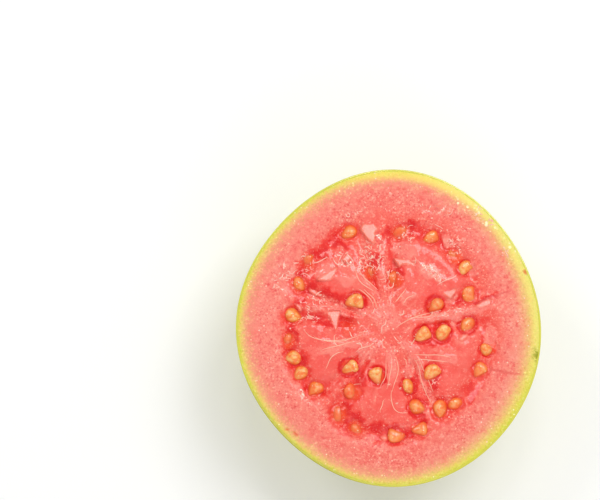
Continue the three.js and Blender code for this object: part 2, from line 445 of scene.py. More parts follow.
flecks = 1 - (peel.cells(5.0) + peel.noise(0.7, 2.0) * 0.12).over(0.10, 0.20)
peel.lay(flecks * peel.noise(7).over(0.52, 0.62) * 0.8, SKIN_SCAR)
peel.lay(peel.mark("scar") * (blotch.over(0.3, 0.7) * 0.3 + 0.6), SKIN_SCAR)
peel.lay(peel.mark("lip") * 0.85, SKIN_LIP)
# Painted shade: the skin's lip turns a darker green on the side away from the main lamp
peel.lay(peel.mark("lip") * peel.facing(SHADED_SIDE, *RIM_FADES) * 0.7, SKIN_SHADED_OLIVE)
peel.set(Base_Color=peel.tint, Roughness=peel.noise(2.0, 3.0) * 0.2 + 0.22)
relief = peel.bump(peel.noise(0.9, 3.0), 0.05, peel.bump(peel.noise(5.0, 3.0), 0.5))
peel.set(Normal=relief)
finished(skin, peel)

# Flesh and pulp
# Under the skin lies firm, slightly gritty flesh, pink with a yellow rind. Inside it five carpels of softer
# pulp have each grown a loop of seeds in red jelly. The knife laid them open, and they are wet.
CARPELS = [
    # middle and half span in degrees, radius share of the outer row, places across of the outer row's seeds,
    # and places across and radius shares of the seeds nearer to the core
    (54, 32, 0.64, (-0.53, -0.16, 0.33, 0.93), ((-0.97, 0.57), (-0.9, 0.35), (0.94, 0.31))),
    (133, 24, 0.69, (-0.83, 0.37, 0.87), ((-1.02, 0.38), (0.5, 0.28))),
    (198, 26, 0.665, (-0.92, -0.46, 0, 0.37, 0.88), ((-0.73, 0.27), (1.05, 0.38))),
    (262, 26, 0.685, (-0.88, -0.42, 0.42, 0.88), ((-0.87, 0.49), (-0.29, 0.31), (0.96, 0.4), (1.05, 0.54))),
    (331, 32, 0.65, (-0.94, -0.66, 0.16, 0.56), ((0.94, 0.52), (-0.59, 0.4), (0.47, 0.22), (0.72, 0.36))),
]
LOOP_FOOT = 0.3  # share of the radius from which the loops of seeds run out
LOOP_POWER = 8  # the higher, the squarer the loops
CHANNEL_DEPTH = 0.9
CHANNEL_WIDTH = 0.17
LOBE_RISE = 0.25
SEED_LENGTH = 3.9
SEED_WIDTH = 3.15
SEED_HEIGHT = 2.4
SEED_ROOT = 0.2
SEED_SUNK = 0.55  # a seed that pulp covers lies this much deeper
SUNK_SHARE = 0.27
SMALLEST_SEED = 0.9
SIZE_PLAY = 0.2
ANGLE_PLAY = 1.5
RADIUS_PLAY = 0.012
DRAW_SEED = 7027


def draw(which, kind):
    """A number from 0 to 1 for each pair of whole numbers: the fraction left of a large sine."""
    spread = math.sin(which * 12.9898 + kind * 78.233 + DRAW_SEED) * 43758.5453
    return spread - math.floor(spread)


def seed_places():
    """Rows of angle, radius share, heading, size and cover of the seeds. An outer seed's radius goes from
    the loop's foot to its top by (1 - across^p)^(1/p), and each seed strays a little."""
    rows = []
    for at, half_span, top, row, inner in CARPELS:
        rises = [(1 - abs(across) ** LOOP_POWER) ** (1 / LOOP_POWER) for across in row]
        outer = [(across, LOOP_FOOT + (top - LOOP_FOOT) * rise) for across, rise in zip(row, rises)]
        for across, radius in [*outer, *inner]:
            n = len(rows)
            stray = (draw(n, 1) - 0.5) * 2 * ANGLE_PLAY
            angle_there = math.radians(at + across * half_span + stray)
            radius_there = radius + (draw(n, 2) - 0.5) * 2 * RADIUS_PLAY
            heading = draw(n, 3) * math.pi
            size = SMALLEST_SEED + SIZE_PLAY * draw(n, 4)
            rows.append((angle_there, radius_there, heading, size, float(draw(n, 5) < SUNK_SHARE)))
    return np.array(rows)


def carpel_relief(angle, share):
    """Height of the pulp over the cut and the strength of its channels and lobes. In a carpel, across is
    the angle from its middle over its half span, up is the radius from the loop's foot to its top, and size
    is (across^p + up^p)^(1/p), which is 1 along the loop. The channel is a bell round a size of 1, and the
    lobe is 1 - size^2."""
    inward = ease(0.16, 0.3, share)
    height = np.zeros(np.broadcast(angle, share).shape)
    channels = height.copy()
    lobes = height.copy()
    for at, half_span, top, *_ in CARPELS:
        turn = (angle - math.radians(at) + math.pi) % (2 * math.pi) - math.pi
        across = turn / math.radians(half_span)
        up = np.maximum(0, (share - LOOP_FOOT) / (top - LOOP_FOOT))
        size = (np.abs(across) ** LOOP_POWER + up**LOOP_POWER) ** (1 / LOOP_POWER)
        channel = np.exp(-(((size - 1) / CHANNEL_WIDTH) ** 2)) * inward
        lobe = np.maximum(0, 1 - size**2) * inward
        height += LOBE_RISE * lobe - CHANNEL_DEPTH * channel
        channels = np.maximum(channels, channel)
        lobes = np.maximum(lobes, lobe)
    return np.maximum(height, -CHANNEL_DEPTH), channels, lobes


UNCOVERED_SEEDS = [16, 18]
COVERED_SEEDS = [1, 8]
DEEP_SEED = 17  # the pulp has closed over this one,
DEEP_SEED_SUNK = 1.3
DEEP_SEED_SHOWS = 0.4  # and only this share of its groove and jelly is left
seeds_at = seed_places()
seed_angle, seed_share, seed_turn, seed_size, seed_cover = seeds_at.T
seed_cover[UNCOVERED_SEEDS] = 0
seed_cover[COVERED_SEEDS] = 1
seed_radius = CUT_RADIUS * seed_share * outline(seed_angle)
seed_x = seed_radius * np.cos(seed_angle)
seed_y = seed_radius * np.sin(seed_angle)
seed_z = UP + carpel_relief(seed_angle, seed_share)[0] - SEED_ROOT - seed_cover * SEED_SUNK
seed_z[DEEP_SEED] -= DEEP_SEED_SUNK
seed_shows = np.ones(len(seeds_at))
seed_shows[DEEP_SEED] = DEEP_SEED_SHOWS

# Patches of the pulp, each with its middle x and y from the core, half length and half width in millimetres,
# and heading in degrees
JELLY_POOLS = [
    (-12.4, 20.2, 3.6, 1.3, -15), (-16.3, 18.5, 2.8, 1.3, 50), (-15.8, 17.0, 2.2, 0.6, 5),
    (-18.9, 9.6, 1.9, 2.4, -40), (-13.7, 7.8, 4.4, 1.2, -10), (-17.0, 2.0, 3.0, 1.8, -20),
    (-10.2, 1.8, 1.7, 1.9, 0), (0.2, 22.6, 1.3, 2.2, 0), (4.8, 24.4, 2.8, 1.3, -8),
    (1.6, 13.4, 1.9, 1.5, 30), (14.6, 16.8, 1.7, 1.5, 0), (19.0, 8.8, 1.3, 1.3, 0),
    (10.6, 4.8, 2.0, 1.3, 10), (10.4, -2.4, 4.6, 2.2, 3), (20.8, -9.8, 1.4, 1.8, 0),
    (20.0, -15.6, 0.9, 2.4, -20), (11.6, -17.4, 1.2, 1.6, 0), (9.6, -13.6, 2.2, 1.1, -20),
    (7.6, -22.4, 1.2, 1.4, 0), (-7.1, -11.6, 1.9, 2.6, 10), (-20.6, -7.6, 1.4, 1.8, 0),
    (-20.2, -14.0, 1.4, 1.2, -45), (-10.6, -19.3, 2.0, 1.4, -35), (-7.7, -21.6, 2.0, 1.3, -40),
    (-3.4, -24.0, 3.0, 1.4, -8), (0.4, -23.7, 1.9, 1.2, 0), (4.2, -25.2, 1.9, 1.1, 0),
    (-23.2, -1.4, 1.4, 3.4, 0), (22.4, 6.9, 3.4, 0.55, 20), (-21.4, 5.8, 1.3, 1.7, 0),
    (-3.1, 15.6, 1.3, 2.4, 10), (-14.2, 0.9, 3.0, 1.3, -12),
]
PALE_PADS = [
    (-15.4, 13.4, 2.8, 1.8, 25), (-10.6, 11.2, 2.6, 1.6, -20), (3.6, 18.4, 3.4, 2.2, -20),
    (9.6, 13.0, 3.6, 1.7, -25), (13.9, 20.6, 1.8, 1.3, -40), (-23.0, 13.6, 1.2, 2.2, -20),
    (-8.6, 4.3, 3.6, 1.3, -15), (8.6, -19.2, 0.9, 1.6, 0), (-14.8, 4.7, 4.6, 0.6, -2),
    (-0.7, 2.4, 3.8, 3.6, 0), (-4.9, -5.8, 3.4, 1.7, 45), (-9.2, -4.2, 3.4, 1.2, 5),
    (-14.1, -5.4, 3.0, 1.2, 5), (0.4, -8.6, 1.5, 4.4, 0), (4.6, -9.6, 1.1, 4.4, -8),
    (8.4, -13.2, 8.4, 0.9, -70), (13.6, -7.3, 3.0, 1.3, -10), (13.8, 2.9, 7.4, 1.3, 9),
    (4.6, 7.2, 2.2, 1.4, 30), (14.6, 6.6, 2.0, 0.9, 20), (23.4, -2.0, 1.6, 3.0, -8),
    (-5.0, 10.4, 3.8, 0.7, -50), (4.6, -5.0, 2.2, 1.0, -20), (20.0, 14.0, 1.3, 1.8, 0),
    (-10.4, 3.6, 1.4, 1.2, 0), (20.8, 4.3, 4.2, 1.2, 14),
]
WET_SPOTS = [
    (-11.0, 15.8, 2.8, 2.2, 60), (-17.8, 6.6, 3.8, 1.9, -5), (-19.2, 3.0, 2.6, 1.6, -20),
    (-4.6, 15.8, 3.2, 4.2, 20), (9.4, 13.4, 5.0, 1.3, -28), (11.5, 28.3, 4.2, 1.1, -14),
    (18.0, 23.4, 1.6, 1.2, 0), (-25.4, 12.6, 2.4, 4.4, -20), (3.8, 22.6, 2.2, 2.4, 0),
    (0.4, 12.2, 2.6, 2.0, 0), (15.6, 19.8, 3.0, 1.6, -30), (-3.0, 20.6, 1.6, 3.0, 0),
    (16.4, 0.2, 3.2, 0.9, 0), (-20.6, 14.6, 1.8, 3.4, -25), (-21.2, -15.6, 3.6, 0.9, -45),
    (10.0, -10.6, 1.0, 5.0, 20), (14.2, 4.0, 5.2, 1.1, 14), (21.9, 26.8, 4.6, 1.3, -42),
    (27.6, 17.6, 2.6, 0.8, -62), (-9.0, 27.6, 3.4, 1.2, 20),
]
# Corners of the films of juice that bridge the pulp, flat and tilted towards the window, which they mirror
JUICE_FILMS = [
    [(-6.1, 24.5), (-3.8, 24.3), (-2.9, 23.6), (-3.6, 22.9), (-3.8, 20.1), (-5.2, 21.4), (-6.6, 23.5)],
    [(-14.5, 3.6), (-12.0, 3.8), (-12.8, -0.2)],
    [(-16.9, 11.4), (-14.3, 12.9), (-12.6, 14.1), (-14.0, 11.5), (-15.2, 11.3)],
    [(1.3, 16.3), (3.0, 16.0), (5.9, 15.2), (3.0, 15.3), (2.4, 14.7)],
    [(12.9, 8.1), (14.2, 8.5), (15.6, 9.0), (14.4, 7.1)],
    [(16.6, -2.7), (17.4, -1.9), (18.3, -1.8), (17.1, -2.9)],
    [(-22.0, 5.3), (-21.2, 5.0), (-21.2, 4.1)],
    [(-18.9, 8.9), (-17.6, 8.6), (-16.4, 7.7), (-17.4, 7.9), (-18.6, 8.5)],
    [(-2.0, -25.9), (-1.1, -25.6), (-0.8, -26.3), (-1.4, -26.4)],
    [(11.2, 29.4), (12.3, 29.6), (11.9, 28.8)],
    [(13.4, 27.9), (14.7, 28.6), (14.9, 27.6), (13.9, 27.3)],
    [(-10.1, 17.2), (-9.2, 16.8), (-10.2, 15.6), (-11.1, 16.2)],
    [(20.8, 5.1), (22.0, 6.0), (23.8, 6.4), (23.6, 5.6), (21.6, 4.9)],
]
FILM_TILT = (-0.136, -0.160)  # its slopes in x and y at the core,
FILM_BEND = 0.0021  # and how much less they are for each millimetre nearer to the window
FILM_RISE = 0.3
PULP_EDGE = (0.66, 0.76)  # shares of the radius between which the pulp gives way to firm flesh,
PULP_LEAN = 0.03  # and how much further out they lie
PULP_LEAN_AT = 45  # on this side, in degrees
SEED_GROOVE = 0.34  # depth of the groove round a seed that shows,
GROOVE_FILLED = 0.15  # and how much of it pulp fills over a covered one
RING_PLAY = 1.2  # the jelly round a seed lies off it by up to half of this
LOWEST = -1.4
RIND_BRUISES = [(35.3, -6.6, 1.3, 1.5, 0)]
CRACKS = [(26.4, -10.4, 4.4, 0.3, -7), (24.5, 7.3, 4.5, 0.3, 20)]
# Spots on the rind where glints of juice drops are painted thickly
RIND_GLINT_SPOTS = [(23.2, 26.0, 3.8, 1.5, -43), (17.6, 29.4, 2.4, 0.9, -28), (28.6, 18.8, 3.0, 0.9, -58)]
RIND_RUST = [(32.3, 13.2, 0.7, 0.45, -60), (-24.3, -24.0, 0.5, 0.35, -20), (-22.3, -25.1, 0.8, 0.3, -42)]


def ovals(x, y, rows, full=0.6, gone=1.3):
    """The highest of a set of soft ovals: 1 in the middle of each, easing to 0 about its edge. How far out
    a point lies, the length of (along / half length, aside / half width), is eased from full to gone."""
    best = np.zeros(np.broadcast(x, y).shape)
    for at_x, at_y, half_length, half_width, heading in rows:
        turn = math.radians(heading)
        along = ((x - at_x) * math.cos(turn) + (y - at_y) * math.sin(turn)) / half_length
        aside = ((y - at_y) * math.cos(turn) - (x - at_x) * math.sin(turn)) / half_width
        best = np.maximum(best, 1 - ease(full, gone, np.hypot(along, aside)))
    return best


def depth_inside(x, y, corners):
    """How far inside a polygon a point lies, in millimetres: the distance to its nearest side, less than 0
    outside, where a line from the point along x crosses an even number of sides."""
    nearest = np.full(x.shape, np.inf)
    within = np.zeros(x.shape, bool)
    for (ax, ay), (bx, by) in zip(corners, corners[1:] + corners[:1]):
        way = ((x - ax) * (bx - ax) + (y - ay) * (by - ay)) / ((bx - ax) ** 2 + (by - ay) ** 2)
        way = np.clip(way, 0, 1)
        nearest = np.minimum(nearest, np.hypot(x - ax - way * (bx - ax), y - ay - way * (by - ay)))
        if ay != by:
            within ^= ((ay > y) != (by > y)) & (x < ax + (y - ay) / (by - ay) * (bx - ax))
    return np.where(within, nearest, -nearest)


def cut_face(angle, share):
    """Height of the cut face and the marks of its parts: pulp, jelly along the channels, round the seeds and
    in pools, lobe in the carpels, pale pads, glow over covered seeds and round each seed's edge, wet spots,
    films of juice, radial streaks, rim, the distance in from the skin, bruise, rust, crack, and the spots
    where glints of juice drops are painted on the rind.
    The height is the carpels' relief, less a bell-shaped groove round each seed, and lumps of a few sizes in
    the pulp and the firm flesh, with ridges in the wet spots. A film is a flat, tilted sheet instead."""
    radius = CUT_RADIUS * share * outline(angle)
    x = radius * np.cos(angle)
    y = radius * np.sin(angle)
    height, channel, lobe = carpel_relief(angle, share)
    beyond = PULP_LEAN * np.cos(angle - math.radians(PULP_LEAN_AT))
    pulp = 1 - ease(*PULP_EDGE, share - beyond + 0.03 * lumps(x, y, 2.5, 3))
    warp_x = x + 0.7 * lumps(x, y, 1.7, 21) + 0.35 * lumps(x, y, 0.8, 22)
    warp_y = y + 0.7 * lumps(x, y, 1.7, 24) + 0.35 * lumps(x, y, 0.8, 25)
    jelly = channel * np.clip(0.5 + 0.5 * lumps(x, y, 3.4, 4) + 0.4 * lumps(x, y, 1.3, 5), 0, 1)
    pale = ovals(warp_x, warp_y, PALE_PADS, 0.7, 1.15)
    glow = np.zeros_like(height)
    each_seed = zip(seed_x, seed_y, seed_turn, seed_size, seed_cover, seed_shows)
    for n, (sx, sy, turn, size, cover, shows) in enumerate(each_seed):
        off_x = RING_PLAY * (draw(n, 11) - 0.5)
        off_y = RING_PLAY * (draw(n, 12) - 0.5) - 0.2
        from_x = warp_x * 0.5 + x * 0.5 - sx
        from_y = warp_y * 0.5 + y * 0.5 - sy
        along = from_x * math.cos(turn) + from_y * math.sin(turn)
        aside = from_y * math.cos(turn) - from_x * math.sin(turn)
        reach = np.hypot(along / (SEED_LENGTH * size / 2), aside / (SEED_WIDTH * size / 2))
        beside = np.hypot(x - sx - off_x, y - sy - off_y) / (SEED_LENGTH * size / 2)
        height -= shows * (SEED_GROOVE - GROOVE_FILLED * cover) * np.exp(-(((reach - 1.15) / 0.25) ** 2))
        strength = 1.15 - 0.55 * float(seed_share[n] > 0.55) - 0.35 * cover + 0.5 * (draw(n, 13) - 0.5)
        ring = strength * (1 - ease(1.0, 1.6, 0.35 * reach + 0.65 * beside))
        jelly = np.maximum(jelly, shows * ring)
        glow = np.maximum(glow, shows * cover * np.exp(-((reach / 1.05) ** 4)))
        glow = np.maximum(glow, shows * 0.65 * (1 - ease(0.8, 1.12, reach)))
    pools = ovals(warp_x, warp_y, JELLY_POOLS, 0.35, 1.6) * np.clip(1.0 + 0.3 * lumps(x, y, 1.0, 6), 0, 1)
    jelly = np.maximum(jelly * (1 - 0.75 * pale), pools * (1 - 0.5 * pale))
    wet = ovals(warp_x, warp_y, WET_SPOTS) * ease(-0.45, 0.15, lumps(x, y, 1.7, 31))
    streak = lumps((11 + 0.1 * radius) * np.cos(angle), (11 + 0.1 * radius) * np.sin(angle), 0.9, 32)
    radial = streak * ease(0.05, 0.14, share) * (1 - ease(0.4, 0.62, share)) * (1 - np.clip(jelly, 0, 1))
    soft = pulp * ease(0.0, 0.1, share)
    height += soft * (0.22 * lumps(x, y, 5.5, 11) + 0.12 * lumps(x, y, 2.2, 12))
    height += pulp * (0.045 * lumps(x, y, 1.1, 13) + 0.03 * radial) + 0.12 * pale
    ridges = 1 - 2.2 * np.abs(lumps(warp_x, warp_y, 1.15, 14))
    height += wet * (0.06 * ridges + 0.05 * lumps(x, y, 0.7, 17))
    height += (1 - 0.7 * pulp) * (0.03 * lumps(x, y, 1.4, 15) + 0.03 * lumps(x, y, 0.6, 16))
    film = np.zeros_like(height)
    for corners in JUICE_FILMS:
        mid_x, mid_y = np.mean(corners, axis=0)
        way = math.atan2(mid_y, mid_x)
        level = carpel_relief(way, math.hypot(mid_x, mid_y) / CUT_RADIUS / outline(way))[0] + FILM_RISE
        sheet = ease(-0.42, -0.2, depth_inside(x, y, corners))
        slope_x = FILM_TILT[0] + FILM_BEND * mid_x
        slope_y = FILM_TILT[1] + FILM_BEND * mid_y
        height += sheet * (level + slope_x * (x - mid_x) + slope_y * (y - mid_y) - height)
        film = np.maximum(film, sheet)
    height = np.maximum(height, LOWEST) * ease(0, 0.02, 1.0 - share)
    marks = {
        "pulp": pulp, "jelly": np.clip(jelly, 0, 1), "lobe": lobe, "pale": pale, "glow": glow, "wet": wet,
        "film": film, "radial": 0.5 + 0.5 * radial, "rim": CUT_RADIUS * outline(angle) * (1 - share),
        "bruise": ovals(warp_x, warp_y, RIND_BRUISES), "rust": ovals(x, y, RIND_RUST),
        "beads": ovals(warp_x, warp_y, RIND_GLINT_SPOTS),
        "crack": ovals(warp_x * 0.2 + x * 0.8, warp_y * 0.2 + y * 0.8, CRACKS),
    }
    return UP + height, marks


FACE_EDGE = 1 - 0.3 / CUT_RADIUS
# Bands of rings from the core out, closest in the pulp: from and to a share of the radius, and how many
FACE_BANDS = [(0.012, 0.1, 14), (0.1, 0.74, 94), (0.74, FACE_EDGE, 26)]
BOWL_GAP = 0.05  # between the flesh's underside and the skin's inner face
BOWL_ROWS = 10
BOWL_RADII = (1.0, 4.5, 7.5)
core_share, pulp_share, firm_share = (np.linspace(*band) for band in FACE_BANDS)
face_share = np.concatenate([core_share[:-1], pulp_share[:-1], firm_share])
face_height, face_marks = cut_face(angle[None, :], face_share[:, None])
face_radius = CUT_RADIUS * face_share[:, None] * outline(angle)[None, :]
face_rings = np.stack([face_radius * np.cos(angle), face_radius * np.sin(angle), face_height], -1)
bowl_radius = np.array(BOWL_RADII)
bowl_under_path = np.stack([bowl_radius, underside(bowl_radius, PEEL + BOWL_GAP)], -1)
bowl_path = np.concatenate([bowl_under_path, dome(BOWL_ROWS, PEEL + BOWL_GAP)[1:-1]])[::-1]
bowl_rings = turned(angle[None, :], bowl_path[:, 0, None], bowl_path[:, 1, None])
flesh_rings = np.concatenate([face_rings, bowl_rings])
flesh_rings[..., :2] -= core
bowl_zero = np.zeros(bowl_rings.shape[:2])
flesh_marks = {key: np.concatenate([value, bowl_zero])[None] for key, value in face_marks.items()}
flesh_piece = closed_mesh("guava_flesh", flesh_rings[None], **flesh_marks)

RIND = [
    # share of the way in over the rind, and the colour there
    (0.00, colour(206, 210, 66)),
    (0.07, colour(219, 213, 80)),
    (0.14, colour(229, 205, 102)),
    (0.23, colour(234, 186, 118)),
    (0.33, colour(238, 162, 124)),
    (0.46, colour(239, 143, 122)),
    (0.68, colour(240, 130, 115)),
    (1.00, colour(240, 123, 108)),
]
RIND_NARROW = 6.8
RIND_WIDE = 12.5
RIND_WIDENS = (1.0, -0.15, 0.0)  # it is widest on this side
FIRM_RED = colour(240, 110, 100)
FIRM_PALE = colour(250, 160, 144)
PULP_PINK = colour(244, 101, 86)
LOBE_RED = colour(242, 89, 80)
PULP_PALE = colour(246, 121, 106)
PULP_RED = colour(236, 78, 68)
PAD_PINK = colour(248, 135, 121)
PAD_WET = colour(253, 164, 146)
STREAK_PALE = colour(250, 148, 128)
JELLY_RED = colour(237, 60, 50)
JELLY_DARK = colour(223, 24, 26)
SEED_GLOW = colour(240, 82, 28)
FIBROUS_RED = colour(232, 87, 82)
FIBROUS_PALE = colour(252, 166, 148)
GRAIN_RED = colour(223, 64, 66)
GRAIN_PALE_GLINT = colour(255, 200, 176)
RIND_CREAM_GLINT = colour(250, 238, 146)
RIND_OLIVE = colour(196, 172, 64)
# Painted highlight colours: glints on the rind
RIND_GLINT_WHITE = colour(255, 252, 206)
CLOSE_RIND_GLINT_WHITE = colour(255, 252, 208)
RIM_SHADED_OLIVE = colour(176, 176, 44)
RIM_YELLOW = colour(244, 222, 98)
RIM_SHEEN_CREAM = colour(255, 232, 150)
GRIT_RED = colour(222, 54, 58)
# Painted highlight colours of the glint squiggles on the wet pulp
GLINT_LINE_PINK = colour(255, 164, 148)
GLINT_LINE_WHITE = colour(255, 226, 204)
GLINT_WHITE = colour(255, 216, 196)
FILM_PINK = colour(252, 140, 116)
CRACK_RED = colour(222, 84, 78)
BRUISE_GREEN = colour(146, 150, 30)
RUST_BROWN = colour(222, 84, 36)
flesh = Finish(
    "guava_flesh", IOR=1.42, Specular_IOR_Level=0.15, Coat_Roughness=0.04,
    Subsurface_Weight=0.2, Subsurface_Radius=(1.0, 0.3, 0.2), Subsurface_Scale=0.0010,
)
rim, pulp, jelly = (flesh.mark(name) for name in ("rim", "pulp", "jelly"))
lobe, pale, glow = (flesh.mark(name) for name in ("lobe", "pale", "glow"))
wet, film, radial = (flesh.mark(name) for name in ("wet", "film", "radial"))
near_side = flesh.facing(RIND_WIDENS, -0.35 * CUT_RADIUS, CUT_RADIUS)
width = near_side * near_side * (RIND_WIDE - RIND_NARROW) + RIND_NARROW
inside = (rim + flesh.noise(0.8, 4.0, 0.75) * 2.6 - 1.3) / width
flesh.tint = flesh.node("ShaderNodeValToRGB", {"stops": RIND}, {0: inside})
cloud = flesh.noise(2.4, 3.0, 0.6)
broad = flesh.noise(6.0, 2.0, 0.5)
flesh.lay(cloud.over(0.48, 0.66) * 0.6 * rim.over(1.5, 5.0), FIRM_RED)
far_side = 1 - flesh.facing(RIND_WIDENS, -CUT_RADIUS, 0)
flesh.lay(far_side * rim.over(2.0, 6.0) * 0.3, FIRM_PALE)
flesh.lay(pulp * 0.9, PULP_PINK)
flesh.lay(lobe.over(0.05, 0.7) * 0.75, LOBE_RED)
flesh.lay(pulp * cloud.over(0.48, 0.62) * 0.55, PULP_PALE)
flesh.lay(pulp * (1 - broad.over(0.38, 0.55)) * 0.4, PULP_RED)
flesh.lay(pale * 0.75, PAD_PINK)
flesh.lay(pale * wet * 0.4, PAD_WET)
flesh.lay(radial.over(0.55, 0.9) * 0.3, STREAK_PALE)
depth = jelly + (flesh.noise(1.2, 3.0, 0.6) - 0.5) * 0.7
flesh.lay(depth.over(0.1, 0.55) * 0.85, JELLY_RED)
flesh.lay(depth.over(0.45, 0.95) * 0.9, JELLY_DARK)
flesh.lay(glow * 0.8, SEED_GLOW)
fleshy = rim.over(2.0, 6.0)
gritty = fleshy * (1 - lobe.over(0.1, 0.6) * (1 - wet) * 0.6)
fibrous = flesh.noise(1.2, 4.0, 0.75)
flesh.lay(fibrous.over(0.53, 0.68) * (0.65 - pulp * 0.25) * gritty, FIBROUS_RED)
light_parts = (1 - fibrous.over(0.33, 0.48)) * (0.65 - jelly * 0.5)
flesh.lay(light_parts * gritty, FIBROUS_PALE)
grain = flesh.noise(0.5, 2.0, 0.6)
patchy = broad.over(0.4, 0.62) * 0.5 + 0.35
flesh.lay((1 - grain.over(0.32, 0.44)) * patchy * gritty, GRAIN_RED)
# Pale specks of grain, partly painted glints, on the firm flesh and, paler yellow, on the rind
light_grain_and_glints = grain.over(0.59, 0.70) * patchy
flesh.lay(light_grain_and_glints * (1 - jelly * 0.7) * gritty, GRAIN_PALE_GLINT)
rind = 1 - fleshy
flesh.lay((light_grain_and_glints + light_parts * 0.5) * rind * 0.8, RIND_CREAM_GLINT)
flesh.lay((1 - grain.over(0.34, 0.47)) * rind * 0.45, RIND_OLIVE)
# Painted highlights: pale glints strewn over the rind, thicker in a few listed spots
rind_glint = (1 - flesh.cells(1.2).over(0.09, 0.18)) * flesh.noise(3.0, 2.0).over(0.45, 0.6)
flesh.lay(rind_glint * rind * 0.8, RIND_GLINT_WHITE)
close_rind_glints = (1 - flesh.cells(1.3).over(0.2, 0.36)) * flesh.mark("beads")
flesh.lay(close_rind_glints * 0.9, CLOSE_RIND_GLINT_WHITE)
# Painted shade: the rim turns a darker green on the side away from the main lamp
painted_shade = flesh.facing(SHADED_SIDE, *RIM_FADES) * (1 - rim.over(0.2, 1.3))
flesh.lay(painted_shade * 0.4, RIM_SHADED_OLIVE)
yellow = flesh.facing(YELLOWER_SIDE, *RIM_FADES) * (1 - rim.over(1.0, 3.4))
flesh.lay(yellow * 0.6, RIM_YELLOW)
# Painted sheen: a pale yellow-white band over the rind on the side towards the main lamp
painted_sheen = flesh.facing(SHEEN_SIDE, *SHEEN_FADES) * (1 - rim.over(0.8, 3.0))
flesh.lay(painted_sheen * 0.4, RIM_SHEEN_CREAM)
grit = 1 - flesh.cells(2.3).over(0.05, 0.2)
flesh.lay(grit * (1 - pulp * 0.6) * 0.6 * gritty, GRIT_RED)
# Painted highlights: pale pink and white squiggles over the wet spots, standing in for the glints of the wet
# pulp
torn = abs(flesh.noise(1.1, 1.5, 0.5) - 0.5)
glint_line_spots = (wet + flesh.noise(1.6, 2.0, 0.6) - 0.5).over(0.45, 0.7) * (1 - film)
broken = flesh.noise(0.9, 2.0, 0.55).over(0.47, 0.55)
flesh.lay((1 - torn.over(0.02, 0.07)) * broken * glint_line_spots * 0.6, GLINT_LINE_PINK)
flesh.lay((1 - torn.over(0.008, 0.032)) * broken * glint_line_spots * 0.85, GLINT_LINE_WHITE)
glint = (1 - flesh.cells(1.4).over(0.09, 0.16)) * flesh.noise(2.2, 2.0).over(0.48, 0.6)
flesh.lay(glint * 0.85 * (1 - film) * (1 - lobe.over(0.1, 0.6) * 0.6), GLINT_WHITE)
flesh.lay(film * 0.55, FILM_PINK)
flesh.lay(flesh.mark("crack") * 0.6, CRACK_RED)
flesh.lay(flesh.mark("bruise") * fibrous.over(0.35, 0.6) * 0.9, BRUISE_GREEN)
flesh.lay(flesh.mark("rust") * 0.75, RUST_BROWN)
flesh.set(Base_Color=flesh.tint)
flesh.set(Roughness=0.42 - jelly * 0.15 - pulp * 0.08)
flesh.set(Coat_Weight=pulp * 0.35 + wet * 0.3 + film * 0.06 + 0.12)
crease = abs(flesh.noise(0.9, 1.0, 0.5) - 0.5) * (1 - film) * (wet + pulp * 0.15)
fine = flesh.bump(flesh.noise(0.36, 2.0, 0.6) * (1 - film) * (0.6 - wet * 0.35), 0.06)
creased = flesh.bump(crease, 0.42, fine)
flesh.set(Normal=flesh.bump(flesh.noise(1.0, 3.0, 0.6) * (1 - film), 0.10, creased))
finished(flesh_piece, flesh)

# Seeds
# Small, hard, pale yellow-brown seeds, each a flattened drop with a blunt end, some bent like a kidney. They
# sit root down in their pockets of jelly, and some are still under it.
SEED_ROUND = 22
SEED_ROWS = 13
SEED_TIP = 0.06  # the first and last rings lie this near the ends, in radians of slant
SEED_BLUNT = 0.85  # below 1, the ends are blunter than an ellipse's
SEED_TAPER = (0.1, 0.42)  # the least, and how much more the most tapered one has
SEED_BEND = (0.05, 0.36)  # the same for how far it is bent
SEED_TWIST = 0.14
SEED_CORNERS = 0.08
SEED_SLIM = 1.05
SEED_STRETCH = 1.03
SEED_FLAT = 0.92
SEED_LEAN = 0.27  # the slope of the most tilted one is half of this
BARE_SEEDS = [0, 11, 12, 14, 15, 18, 24, 25, 30, 32, 33, 34]  # these show most clearly
VEIL = 0.4  # how far jelly veils the others
COVERED_VEIL = 0.9  # and those that pulp covers
SEED_SIDE = colour(246, 88, 36)
SEED_LIT_TOP = colour(252, 142, 62)
SEED_HIGHLIGHT_PALE = colour(253, 202, 130)
SEED_MOTTLE = colour(246, 112, 46)
SEED_VEILED = colour(244, 82, 34)
SEED_SPARKLE = colour(255, 238, 196)
slant = np.linspace(SEED_TIP, math.pi - SEED_TIP, SEED_ROWS)[None, :, None]
roll = np.linspace(0, 2 * math.pi, SEED_ROUND, endpoint=False)[None, None, :]
kinds = np.array([[draw(n, k) for k in (6, 7, 8, 9)] for n in range(len(seeds_at))])
taper, bend, edge, tip = (kinds[:, k, None, None] for k in range(4))


